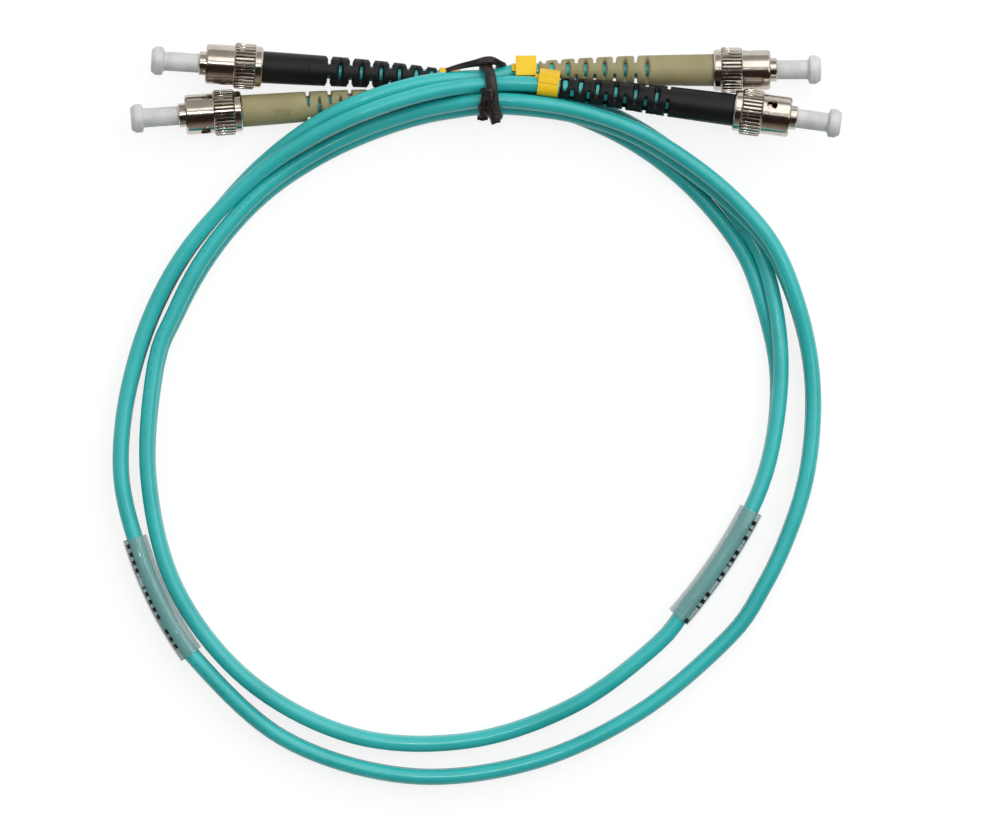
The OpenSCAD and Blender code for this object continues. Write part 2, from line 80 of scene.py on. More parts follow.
# Centre line of the joined pair: x, y, z in metres, then its roll in degrees. At roll 0
# the pair lies flat with cord A outwards, and at roll 90 it stands with cord A on top.
PAIR_ROUTE = (
    (-0.001, -0.0001, 0.0025, 0), (0.004, -0.0004, 0.0025, 0), (0.011, -0.0015, 0.0018, 0),
    (0.019, -0.0036, 0.0016, 0), (0.0295, -0.0085, 0.0016, 0), (0.039, -0.0152, 0.0017, 2),
    (0.047, -0.0233, 0.0018, 8), (0.0535, -0.0328, 0.0022, 20), (0.057, -0.0438, 0.0029, 48),
    (0.0587, -0.055, 0.00315, 76), (0.0582, -0.066, 0.0032, 89), (0.056, -0.0765, 0.0032, 90),
    (0.052, -0.086, 0.0035, 90), (0.0465, -0.095, 0.0035, 90), (0.0405, -0.103, 0.0035, 90),
    (0.034, -0.111, 0.0035, 90), (0.0175, -0.123, 0.0032, 90), (-0.0035, -0.13, 0.0032, 90),
    (-0.0265, -0.129, 0.0032, 90), (-0.0475, -0.118, 0.0032, 90), (-0.062, -0.0995, 0.0032, 90),
    (-0.0675, -0.077, 0.0032, 90), (-0.066, -0.055, 0.0032, 85), (-0.062, -0.0445, 0.0032, 82),
    (-0.057, -0.035, 0.0032, 78), (-0.0505, -0.0263, 0.0032, 78), (-0.043, -0.019, 0.0032, 74),
    (-0.034, -0.013, 0.0032, 72), (-0.0245, -0.0084, 0.0033, 71), (-0.0143, -0.005, 0.0042, 71),
    (-0.006, -0.0034, 0.0058, 69), (0.0009, -0.0027, 0.0068, 68), (0.0095, -0.0032, 0.0068, 70),
    (0.019, -0.0048, 0.0066, 72), (0.0295, -0.0084, 0.0066, 70), (0.0395, -0.0144, 0.0067, 66),
    (0.049, -0.022, 0.0067, 68), (0.057, -0.031, 0.0068, 78), (0.062, -0.042, 0.0053, 86),
    (0.065, -0.054, 0.0034, 90), (0.0655, -0.066, 0.0032, 90), (0.064, -0.078, 0.0032, 90),
    (0.0605, -0.089, 0.0032, 90), (0.0555, -0.0995, 0.0032, 90), (0.0485, -0.1095, 0.0032, 90),
    (0.0305, -0.1245, 0.0032, 90), (0.0085, -0.1345, 0.0032, 90), (-0.016, -0.137, 0.0032, 90),
    (-0.0405, -0.1295, 0.0032, 90), (-0.059, -0.1125, 0.0035, 90), (-0.0655, -0.1015, 0.0035, 90),
    (-0.07, -0.09, 0.0035, 90), (-0.0728, -0.078, 0.0035, 90), (-0.0725, -0.066, 0.0033, 90),
    (-0.07, -0.054, 0.0032, 88), (-0.066, -0.043, 0.0032, 86), (-0.0605, -0.033, 0.0032, 88),
    (-0.0533, -0.024, 0.0034, 94), (-0.0453, -0.016, 0.0046, 110),
    (-0.0361, -0.0093, 0.0073, 128), (-0.026, -0.0041, 0.0091, 142),
    (-0.015, -0.0004, 0.0086, 140), (-0.006, 0.0013, 0.0078, 128), (0.0012, 0.0019, 0.00685, 120),
)
# The tie's strip: x, y, z in metres, then the direction that its flat side faces along.
TIE_ROUTE = (
    (-0.0079, 0.0039, 0.0072, 0, 1, 1), (-0.005, 0.0047, 0.0073, 0, 1, 1),
    (-0.002, 0.0053, 0.0076, 0, 1, 1), (0.0004, 0.0056, 0.0079, 1, 1, 0),
    (0.0024, 0.0055, 0.0069, 1, 0, 0), (0.0031, 0.0052, 0.0044, 1, 0, 0),
    (0.003, 0.0043, 0.0017, 1, 0, 0), (0.0028, 0.0016, 0.00042, 1, 0, 0),
    (0.0026, -0.0019, 0.00042, 1, 0, 0), (0.0025, -0.0044, 0.0015, 1, 0, 0),
    (0.0022, -0.0056, 0.0046, 1, 0, 0), (0.0019, -0.0052, 0.0083, 1, 0, 0),
    (0.0016, -0.0028, 0.01055, 1, 0, 0), (0.0012, 0.0012, 0.01075, 1, 0, 0),
    (0.0007, 0.0037, 0.0093, 1, 0, 0), (0, 0.0051, 0.0065, 1, 0, 0),
    (-0.0002, 0.005, 0.0042, 1, 0, 0), (-0.0002, 0.004, 0.0016, 1, 0, 0),
    (-0.0003, 0.0016, 0.00042, 1, 0, 0), (-0.0004, -0.0019, 0.00042, 1, 0, 0),
    (-0.0005, -0.0042, 0.0017, 1, 0, 0), (-0.0006, -0.0057, 0.0044, 1, 0, 0),
)

Colour = tuple[float, float, float]
WHITE: Colour = (1.0, 1.0, 1.0)


def from_screen(red: int, green: int, blue: int) -> Colour:
    """Turn a screen colour into the linear one that shaders take.

    Args:
        red: Red from 0 to 255.
        green: Green from 0 to 255.
        blue: Blue from 0 to 255.

    Returns:
        The same colour in linear light.
    """
    shares = (red / 255, green / 255, blue / 255)
    return tuple(c / 12.92 if c <= 0.04045 else ((c + 0.055) / 1.055) ** 2.4 for c in shares)


# ---------------------------------------------------------------- shader writing


class Value:
    """A shader socket that plain arithmetic works on."""

    def __init__(self, shader: "Shader", socket: bpy.types.NodeSocket) -> None:
        """Hold a socket and the shader that it belongs to."""
        self.shader = shader
        self.socket = socket

    def maths(self, operation: str, first: "Number", second: "Number" = 0.0) -> "Value":
        """Add one Math node.

        Args:
            operation: The Math node's operation.
            first: Its first value.
            second: Its second value.

        Returns:
            The node's result.
        """
        return self.shader.node("ShaderNodeMath", {"operation": operation}, {0: first, 1: second})

    def __add__(self, other: "Number") -> "Value":
        """Add."""
        return self.maths("ADD", self, other)

    def __radd__(self, other: "Number") -> "Value":
        """Add, with the number first."""
        return self.maths("ADD", other, self)

    def __sub__(self, other: "Number") -> "Value":
        """Subtract."""
        return self.maths("SUBTRACT", self, other)

    def __rsub__(self, other: "Number") -> "Value":
        """Subtract from a number."""
        return self.maths("SUBTRACT", other, self)

    def __mul__(self, other: "Number") -> "Value":
        """Multiply."""
        return self.maths("MULTIPLY", self, other)

    def __rmul__(self, other: "Number") -> "Value":
        """Multiply, with the number first."""
        return self.maths("MULTIPLY", other, self)

    def __pow__(self, other: "Number") -> "Value":
        """Raise to a power."""
        return self.maths("POWER", self, other)

    def __gt__(self, other: "Number") -> "Value":
        """Give 1 where the value is above the other."""
        return self.maths("GREATER_THAN", self, other)

    def __lt__(self, other: "Number") -> "Value":
        """Give 1 where the value is below the other."""
        return self.maths("LESS_THAN", self, other)

    def fraction(self) -> "Value":
        """Give the part after the decimal point."""
        return self.maths("FRACT", self)

    def size(self) -> "Value":
        """Drop the sign."""
        return self.maths("ABSOLUTE", self)

    def wave(self) -> "Value":
        """Give the sine."""
        return self.maths("SINE", self)

    def ramp(self, low: float, high: float) -> "Value":
        """Give 0 below low, 1 above high and a smooth step between.

        Args:
            low: Where the step starts.
            high: Where the step ends.

        Returns:
            The stepped value.
        """
        return self.shader.node(
            "ShaderNodeMapRange",
            {"interpolation_type": "SMOOTHSTEP"},
            {"Value": self, "From Min": low, "From Max": high},
        )


Number = float | Value


class Shader:
    """The node tree of one material or of the world."""

    def __init__(self, owner: bpy.types.Material | bpy.types.World) -> None:
        """Empty the owner's node tree."""
        owner.use_nodes = True
        self.tree = owner.node_tree
        self.tree.nodes.clear()

    def node(
        self, kind: str, settings: dict | None = None, values: dict | None = None, out: int | str = 0
    ) -> Value:
        """Add any node.

        Args:
            kind: The node's type.
            settings: Properties that are set before its sockets; "stops" fills a ramp.
            values: Numbers, colours or other nodes' results, by input name or place.
            out: The output that is wanted.

        Returns:
            That output.
        """
        made = self.tree.nodes.new(kind)
        for name, setting in (settings or {}).items():
            if name == "stops":
                ramp = made.color_ramp.elements
                while len(ramp) < len(setting):
                    ramp.new(0.5)
                for stop, (place, colour) in zip(ramp, setting):
                    stop.position = place
                    stop.color = (*colour, 1.0)
            else:
                setattr(made, name, setting)
        for name, value in (values or {}).items():
            if isinstance(value, Value):
                self.tree.links.new(value.socket, made.inputs[name])
            elif isinstance(value, tuple) and made.inputs[name].type == "RGBA":
                made.inputs[name].default_value = (*value[:3], 1.0)
            else:
                made.inputs[name].default_value = value
        return Value(self, made.outputs[out]) if made.outputs else Value(self, None)

    def mix(self, share: Number, first: "Colour | Value", second: "Colour | Value") -> Value:
        """Blend two colours.

        Args:
            share: How much of the second colour shows.
            first: The first colour.
            second: The second colour.

        Returns:
            The blended colour.
        """
        return self.node(
            "ShaderNodeMix", {"data_type": "RGBA"}, {0: share, 6: first, 7: second}, out=2
        )

    def ray(self, kind: str) -> Value:
        """Give 1 for rays of one kind."""
        return self.node("ShaderNodeLightPath", out=f"Is {kind} Ray")

    def place(self) -> Value:
        """Give the point on the piece in metres."""
        return self.node("ShaderNodeTexCoord", out="Object")

    def lie(self) -> Value:
        """Give the point on the piece's own map: round about, then length."""
        return self.node("ShaderNodeTexCoord", out="UV")

    def part(self, vector: Value, which: int) -> Value:
        """Give one of a vector's three numbers."""
        return self.node("ShaderNodeSeparateXYZ", {}, {0: vector}, out=which)

    def combined(self, operation: str, first: Value, second: Sequence[float], out: int | str = 0) -> Value:
        """Add one Vector Math node.

        Args:
            operation: The node's operation.
            first: Its first vector.
            second: Its second vector.
            out: The output that is wanted.

        Returns:
            That output.
        """
        return self.node("ShaderNodeVectorMath", {"operation": operation}, {0: first, 1: tuple(second)}, out)

    def along(self, origin: Sequence[float], axis: Sequence[float]) -> Value:
        """Give how far a point lies along an axis.

        Args:
            origin: A point on the axis.
            axis: The axis's direction.

        Returns:
            The distance in metres.
        """
        step = self.combined("SUBTRACT", self.place(), origin)
        return self.combined("DOT_PRODUCT", step, axis, out="Value")

    def around(self, origin: Sequence[float], axis: Sequence[float]) -> Value:
        """Give how far a point lies from an axis.

        Args:
            origin: A point on the axis.
            axis: The axis's direction, of length 1.

        Returns:
            The distance in metres.
        """
        step = self.combined("SUBTRACT", self.place(), origin)
        across = self.combined("CROSS_PRODUCT", step, axis)
        return self.node("ShaderNodeVectorMath", {"operation": "LENGTH"}, {0: across}, out="Value")

    def noise(self, vector: Value, scale: float, detail: float = 2.0) -> Value:
        """Give a cloudy value from 0 to 1.

        Args:
            vector: Where the cloud is read.
            scale: How many clouds to a unit.
            detail: How many finer layers it has.

        Returns:
            The cloud's value.
        """
        return self.node(
            "ShaderNodeTexNoise", {}, {"Vector": vector, "Scale": scale, "Detail": detail}
        )

    def streaks(self, run: Value, detail: float = 0.0) -> Value:
        """Give a value from 0 to 1 that changes along one number alone.

        Args:
            run: The number.
            detail: How many finer layers it has.

        Returns:
            The value.
        """
        return self.node(
            "ShaderNodeTexNoise", {"noise_dimensions": "1D"}, {"W": run, "Scale": 1.0, "Detail": detail}
        )

    def stretch(self, vector: Value, by: tuple[float, float, float]) -> Value:
        """Scale a coordinate.

        Args:
            vector: The coordinate.
            by: The scale along each axis.

        Returns:
            The scaled coordinate.
        """
        return self.node("ShaderNodeMapping", {}, {"Vector": vector, "Scale": by})

    def bump(self, height: Value, depth: float, strength: float = 1.0) -> Value:
        """Turn a height into a bumped normal.

        Args:
            height: The height from 0 to 1.
            depth: What a height of 1 stands for, in metres.
            strength: How much of it shows.

        Returns:
            The normal.
        """
        return self.node(
            "ShaderNodeBump", {}, {"Height": height, "Distance": depth, "Strength": strength}
        )

    def surface(self, values: dict) -> None:
        """Finish with one Principled surface that has these values."""
        skin = self.node("ShaderNodeBsdfPrincipled", {}, values)
        self.node("ShaderNodeOutputMaterial", {}, {"Surface": skin})


# ---------------------------------------------------------------- finishes


@dataclass(frozen=True)
class Finish:
    """A finish by name. Each kind of surface fills in write()."""

    name: str

    def write(self, shader: Shader) -> None:
        """Write the nodes."""
        raise NotImplementedError

    def dress(self, piece: bpy.types.Object) -> None:
        """Give the piece this finish alone, writing the material the first time.

        Args:
            piece: The piece.
        """
        material = bpy.data.materials.get(self.name)
        if material is None:
            material = bpy.data.materials.new(self.name)
            self.write(Shader(material))
        piece.data.materials.clear()
        piece.data.materials.append(material)


@dataclass(frozen=True)
class JacketFinish(Finish):
    """Extruded cord jacket with fine lines along it and rows of faint printed ticks."""

    colour: Colour = from_screen(48, 190, 188)
    shade: Colour = from_screen(32, 174, 172)
    ink: Colour = from_screen(24, 120, 120)
    gloss: float = 0.3
    row_at: float = 0.3
    row_half: float = 0.022
    blocks: float = 3.0
    block_share: float = 0.2
    ticks: float = 420.0
    strength: float = 0.28

    def write(self, shader: Shader) -> None:
        """Write the nodes."""
        uv = shader.lie()
        around, run = shader.part(uv, 0), shader.part(uv, 1)
        clouds = shader.noise(shader.place(), 60.0, 3.0)
        lines = shader.noise(shader.stretch(uv, (40.0, 6.0, 1.0)), 1.0, 2.0)
        block = (run * self.blocks).fraction()
        row = ((around - self.row_at).size() < self.row_half) * (block < self.block_share)
        tick = (run * self.ticks).fraction()
        cell = shader.noise(shader.stretch(uv, (9.0, 1100.0, 1.0)), 1.0, 0.0)
        ticks = row * (tick > 0.35) * (cell > 0.52) * self.strength
        base = shader.mix(clouds.ramp(0.35, 0.75), self.colour, self.shade)
        shader.surface(
            {
                "Base Color": shader.mix(ticks, base, self.ink),
                "Roughness": self.gloss + lines * 0.08 + clouds * 0.06,
                "Normal": shader.bump(lines, 0.00002, 0.5),
                "Coat Weight": 0.4,
                "Coat Roughness": 0.1,
                "IOR": 1.48,
                "Subsurface Weight": 0.06,
                "Subsurface Radius": (0.4, 1.0, 0.9),
                "Subsurface Scale": 0.0006,
            }
        )


@dataclass(frozen=True)
class MouldedFinish(Finish):
    """Moulded plastic with a soft grain."""

    colour: Colour
    shade: Colour
    gloss: float = 0.42
    sheen: float = 0.5
    grain: float = 0.00001

    def write(self, shader: Shader) -> None:
        """Write the nodes."""
        at = shader.place()
        clouds = shader.noise(at, 180.0, 3.0)
        grit = shader.noise(at, 4200.0, 2.0)
        shader.surface(
            {
                "Base Color": shader.mix(clouds.ramp(0.3, 0.75), self.colour, self.shade),
                "Roughness": self.gloss + clouds * 0.1 + grit * 0.05,
                "Normal": shader.bump(grit, self.grain, 0.6),
                "IOR": 1.48,
                "Specular IOR Level": self.sheen,
            }
        )


@dataclass(frozen=True)
class TurnedMetal(Finish):
    """Turned and plated metal, with fine rings round its axis, a few soft marks, and painted shade in the
    bottoms of the grip's flute grooves.
    """

    origin: tuple[float, float, float]
    axis: tuple[float, float, float]
    colour: Colour = (0.56, 0.52, 0.465)
    tarnish: Colour = (0.46, 0.41, 0.35)
    # painted shade: a near-black colour laid into the bottoms of the grip's flute grooves
    painted_groove_shade: Colour = (0.05, 0.04, 0.032)
    gloss: float = 0.09
    grip: tuple[float, float] = (1.5 * MM, 5.6 * MM)
    groove: tuple[float, float] = (4.38 * MM, 4.47 * MM)
    groove_slack: float = 0.1 * MM
    lines: float = 14000.0

    def write(self, shader: Shader) -> None:
        """Write the nodes."""
        u = shader.along(self.origin, self.axis)
        rings = shader.streaks(u * self.lines, 3.0)
        clouds = shader.noise(shader.place(), 420.0, 3.0)
        marks = shader.noise(shader.place(), 1500.0, 1.0).ramp(0.62, 0.72)
        radius = shader.around(self.origin, self.axis)
        fluted = (u > self.grip[0]) * (u < self.grip[1]) * (radius > self.groove[0] - self.groove_slack)
        # painted shade mask: 1 deep in the grip's flute grooves, fading out towards the ridges
        groove_shade_mask = fluted * (1.0 - radius.ramp(*self.groove))
        plain = shader.mix(clouds.ramp(0.4, 0.8), self.colour, self.tarnish)
        shader.surface(
            {
                "Base Color": shader.mix(groove_shade_mask, plain, self.painted_groove_shade),
                "Metallic": 1.0,
                "Roughness": self.gloss + rings * 0.07 + marks * 0.08,
                "Normal": shader.bump(rings, 0.000002, 0.6),
            }
        )


@dataclass(frozen=True)
class PlainMetal(Finish):
    """Plain steel of wire and stampings."""

    colour: Colour = (0.56, 0.56, 0.57)
    dull: Colour = (0.42, 0.42, 0.43)

    def write(self, shader: Shader) -> None:
        """Write the nodes."""
        clouds = shader.noise(shader.place(), 900.0, 3.0)
        shader.surface(
            {
                "Base Color": shader.mix(clouds, self.colour, self.dull),
                "Metallic": 1.0,
                "Roughness": 0.24 + clouds * 0.14,
            }
        )


@dataclass(frozen=True)
class MilkyFinish(Finish):
    """Milky, translucent moulding of the dust caps."""

    colour: Colour = from_screen(216, 217, 216)
    thin: Colour = from_screen(198, 199, 199)

    def write(self, shader: Shader) -> None:
        """Write the nodes."""
        at = shader.place()
        clouds = shader.noise(at, 260.0, 3.0)
        shader.surface(
            {
                "Base Color": shader.mix(clouds.ramp(0.35, 0.7), self.colour, self.thin),
                "Roughness": 0.32 + clouds * 0.12,
                "Normal": shader.bump(shader.noise(at, 2600.0, 2.0), 0.00001, 0.4),
                "IOR": 1.5,
                "Subsurface Weight": 0.35,
                "Subsurface Radius": (1.0, 1.0, 1.0),
                "Subsurface Scale": 0.0012,
            }
        )


@dataclass(frozen=True)
class CeramicFinish(Finish):
    """Polished white ceramic."""

    colour: Colour = from_screen(240, 239, 233)
    shade: Colour = from_screen(231, 229, 221)

    def write(self, shader: Shader) -> None:
        """Write the nodes."""
        clouds = shader.noise(shader.place(), 500.0, 2.0)
        shader.surface(
            {
                "Base Color": shader.mix(clouds, self.colour, self.shade),
                "Roughness": 0.08 + clouds * 0.06,
                "IOR": 2.1,
            }
        )


@dataclass(frozen=True)
class ClearFinish(Finish):
    """Clear flexible tube on a bent cord, with a row of short dark bars and no letters."""

    centre: tuple[float, float]
    radius: float
    colour: Colour = from_screen(150, 186, 184)
    ink: Colour = from_screen(20, 30, 32)
    row: tuple[float, float] = (1.2 * MM, 2.1 * MM)
    middle: float = 3.5 * MM
    bars: float = 300.0
    bar_share: float = 0.45
    group_share: float = 0.42
    haze: float = 0.26

    def write(self, shader: Shader) -> None:
        """Write the nodes."""
        at = shader.place()
        x, y = (shader.part(at, i) - self.centre[i] for i in (0, 1))
        out = (x * x + y * y) ** 0.5 - self.radius
        run = y.maths("ARCTAN2", y, x) * self.radius
        row = (out > self.row[0]) * (out < self.row[1]) * (shader.part(at, 2) > self.middle)
        bar = (run * self.bars * 2.0).fraction() > self.bar_share
        ink = row * bar * (shader.streaks(run * self.bars) > self.group_share)
        clouds = shader.noise(at, 300.0, 3.0)
        shader.surface(
            {
                "Base Color": shader.mix(ink, self.colour, self.ink),
                "Alpha": self.haze + clouds * 0.1 + ink * 0.7,
                "Roughness": 0.07 + clouds * 0.06,
                "Normal": shader.bump(clouds, 0.00006, 0.3),
                "IOR": 1.6,
                "Specular IOR Level": 1.0,
            }
        )


@dataclass(frozen=True)
class LabelFinish(Finish):
    """Plain white label strip with a row of short dark bars and no letters."""

    paper: Colour = from_screen(236, 240, 238)
    ink: Colour = from_screen(34, 40, 44)
    margin: float = 0.12
    bars: float = 16.0

    def write(self, shader: Shader) -> None:
        """Write the nodes."""
        uv = shader.lie()
        across, run = shader.part(uv, 0), shader.part(uv, 1)
        cells = shader.noise(shader.stretch(uv, (0.0, 30.0, 1.0)), 1.0, 0.0)
        bars = ((run * self.bars).fraction() > 0.4) * (cells > 0.44) * ((across - 0.5).size() < 0.3)
        inside = (run > self.margin) * (run < 1.0 - self.margin)
        fibres = shader.noise(shader.place(), 1500.0, 3.0)
        shader.surface(
            {
                "Base Color": shader.mix(bars * inside, self.paper, self.ink),
                "Roughness": 0.45 + fibres * 0.1,
            }
        )


@dataclass(frozen=True)
class TieFinish(Finish):
    """Plastic-coated wire tie, crimped across its width."""

    colour: Colour = from_screen(30, 24, 23)
    worn: Colour = from_screen(58, 48, 44)
    ribs: float = 9000.0

    def write(self, shader: Shader) -> None:
        """Write the nodes."""
        ribs = (shader.part(shader.lie(), 1) * self.ribs).wave() * 0.5 + 0.5
        clouds = shader.noise(shader.place(), 700.0, 3.0)
        shader.surface(
            {
                "Base Color": shader.mix(clouds.ramp(0.45, 0.8), self.colour, self.worn),
                "Roughness": 0.42 + clouds * 0.15,
                "Normal": shader.bump(ribs, 0.00006, 0.55),
                "IOR": 1.48,
            }
        )


JACKET = JacketFinish("aqua_jacket")
BLACK_BOOT = MouldedFinish("satin_black", from_screen(17, 17, 20), from_screen(23, 23, 26), 0.38, 0.3)
BEIGE_BOOT = MouldedFinish("satin_beige", from_screen(160, 152, 112), from_screen(151, 143, 104), 0.45, 0.4)
YELLOW_CLIP = MouldedFinish("yellow_clip", from_screen(252, 208, 8), from_screen(246, 198, 4), 0.36)
MILKY_CAP = MilkyFinish("milky_cap")
WHITE_CERAMIC = CeramicFinish("white_ceramic")
WIRE_STEEL = PlainMetal("wire_steel")
LABEL_STRIP = LabelFinish("label_strip")
COATED_WIRE = TieFinish("coated_wire")


# ---------------------------------------------------------------- shapes and routes


def select_only(piece: bpy.types.Object) -> None:
    """Leave the piece alone selected and active.

    Args:
        piece: The piece.
    """
    bpy.ops.object.select_all(action="DESELECT")
    piece.hide_set(False)
    piece.select_set(True)
    bpy.context.view_layer.objects.active = piece


def soften_edges(piece: bpy.types.Object, width: float, segments: int) -> None:
    """Round the active piece's edges.

    Args:
        piece: The piece.
        width: How far each edge is rounded, in metres.
        segments: How many faces round each edge.
    """
    soft = piece.modifiers.new("edges", "BEVEL")
    soft.width, soft.segments = width, segments
    soft.limit_method, soft.angle_limit = "ANGLE", SHARP_EDGE
    bpy.ops.object.modifier_apply(modifier=soft.name)


def curve_point(a: Sequence, b: Sequence, c: Sequence, d: Sequence, t: float) -> tuple[float, ...]:
    """Read the smooth curve between b and c.

    Args:
        a: The point before b.
        b: Where the stretch starts.
        c: Where the stretch ends.
        d: The point after c.
        t: How far along the stretch, from 0 to 1.

    Returns:
        The point, with whatever other numbers the points carry.
    """
    return tuple(
        0.5 * (2 * q + (r - p) * t + (2 * p - 5 * q + 4 * r - s) * t * t + (3 * q - p - 3 * r + s) * t**3)
        for p, q, r, s in zip(a, b, c, d)
    )


def smooth(points: Sequence[Sequence[float]], step: float) -> list[tuple[float, ...]]:
    """Draw a smooth curve through the inner points of a list.

    Args:
        points: The points, of which the first and last only steer the curve.
        step: About how far apart the results lie, in metres.

    Returns:
        The curve's points.
    """
    made = []
    for i in range(1, len(points) - 2):
        gap = (Vector(points[i + 1][:3]) - Vector(points[i][:3])).length
        count = max(1, round(gap / step))
        made += [curve_point(*points[i - 1 : i + 3], k / count) for k in range(count)]
    return made + [tuple(points[-2])]


def smooth_all(points: Sequence[Sequence[float]], step: float) -> list[tuple[float, ...]]:
    """Draw a smooth curve through every point, with both ends drawn out straight.

    Args:
        points: The points.
        step: About how far apart the results lie, in metres.

    Returns:
        The curve's points.
    """
    first = tuple(2 * a - b for a, b in zip(points[0], points[1]))
    last = tuple(2 * a - b for a, b in zip(points[-1], points[-2]))
    return smooth([first, *points, last], step)


def direction(points: Sequence[Sequence[float]], i: int) -> Vector:
    """Give the way a line runs at one of its points."""
    after, before = points[min(i + 1, len(points) - 1)], points[max(i - 1, 0)]
    return (Vector(after[:3]) - Vector(before[:3])).normalized()


def swept_mesh(name: str, rings: Sequence[Sequence[Vector]], runs: Sequence[float]) -> bpy.types.Object:
    """Make a closed skin over rings, with a UV map of round-about and length.

    Args:
        name: The piece's name.
        rings: The rings of points, all with as many points.
        runs: How far along each ring lies, in metres.

    Returns:
        The piece.
    """
    sides = len(rings[0])
    shape = bmesh.new()
    grid = [[shape.verts.new(point) for point in ring] for ring in rings]
    layer = shape.loops.layers.uv.new("UVMap")
    for i in range(len(grid) - 1):
        for j in range(sides):
            k = (j + 1) % sides
            face = shape.faces.new((grid[i][j], grid[i][k], grid[i + 1][k], grid[i + 1][j]))
            face.smooth = True
            corners = ((j, i), (j + 1, i), (j + 1, i + 1), (j, i + 1))
            for loop, (u, v) in zip(face.loops, corners):
                loop[layer].uv = (u / sides, runs[v])
    for ring, flip in ((grid[0], True), (grid[-1], False)):
        shape.faces.new(list(reversed(ring)) if flip else ring)
    bmesh.ops.recalc_face_normals(shape, faces=shape.faces)
    mesh = bpy.data.meshes.new(name)
    shape.to_mesh(mesh)
    shape.free()
    piece = bpy.data.objects.new(name, mesh)
    bpy.context.scene.collection.objects.link(piece)
    return piece


def lengths(points: Sequence[Sequence[float]]) -> list[float]:
    """Give how far along a line each of its points lies.

    Args:
        points: The line's points.

    Returns:
        The distances in metres.
    """
    runs = [0.0]
    for before, after in zip(points, points[1:]):
        runs.append(runs[-1] + (Vector(after[:3]) - Vector(before[:3])).length)
    return runs


# ---------------------------------------------------------------- sub-assemblies


class BootShade(Enum):
    """The two colours that tell a pair's boots apart."""

    BLACK = "black"
    BEIGE = "beige"

    def finish(self) -> MouldedFinish:
        """Give the boot's finish."""
        return BLACK_BOOT if self is BootShade.BLACK else BEIGE_BOOT


@dataclass
class Softener:
    """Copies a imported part, cleans its mesh and softens its edges.

    The copy stands for the part, and the part itself stays unseen for collision.
    """

    frame: dict
    weld: float = 0.002 * MM
    flat: float = 0.8
    round_slack: float = 0.02 * MM
    round_facing: float = 0.97

    def copy(self, node: str, name: str, edge: float) -> bpy.types.Object:
        """Make the soft-edged copy.

        Args:
            node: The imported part's name.
            name: The copy's name.
            edge: How far each edge is rounded, in metres.

        Returns:
            The copy.
        """
        source = self.frame["nodes"][node]
        piece = bpy.data.objects.new(name, source.data.copy())
        bpy.context.scene.collection.objects.link(piece)
        select_only(piece)
        bpy.ops.object.mode_set(mode="EDIT")
        bpy.ops.mesh.select_all(action="SELECT")
        bpy.ops.mesh.customdata_custom_splitnormals_clear()
        bpy.ops.mesh.remove_doubles(threshold=self.weld)
        bpy.ops.mesh.dissolve_limited(angle_limit=math.radians(self.flat))
        bpy.ops.object.mode_set(mode="OBJECT")
        soften_edges(piece, edge, 2)
        bpy.ops.object.shade_smooth_by_angle(angle=SMOOTH_ANGLE)
        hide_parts(node)
        return piece

    def true_round(self, piece: bpy.types.Object, at: Vector, axis: Vector) -> None:
        """Shade every round wall of a turned piece as a true cylinder.

        Args:
            piece: The piece.
            at: A point on its axis.
            axis: The axis's direction.
        """
        mesh = piece.data
        normals = [Vector(corner.vector) for corner in mesh.corner_normals]
        spokes = [(v.co - at) - (v.co - at).dot(axis) * axis for v in mesh.vertices]
        for face in mesh.polygons:
            reach = [spokes[i].length for i in face.vertices]
            middle = sum((spokes[i] for i in face.vertices), Vector()).normalized()
            facing = face.normal.dot(middle)
            if max(reach) - min(reach) > self.round_slack or abs(facing) < self.round_facing:
                continue
            for loop, vertex in zip(face.loop_indices, face.vertices):
                normals[loop] = math.copysign(1.0, facing) * spokes[vertex].normalized()
        mesh.normals_split_custom_set(normals)


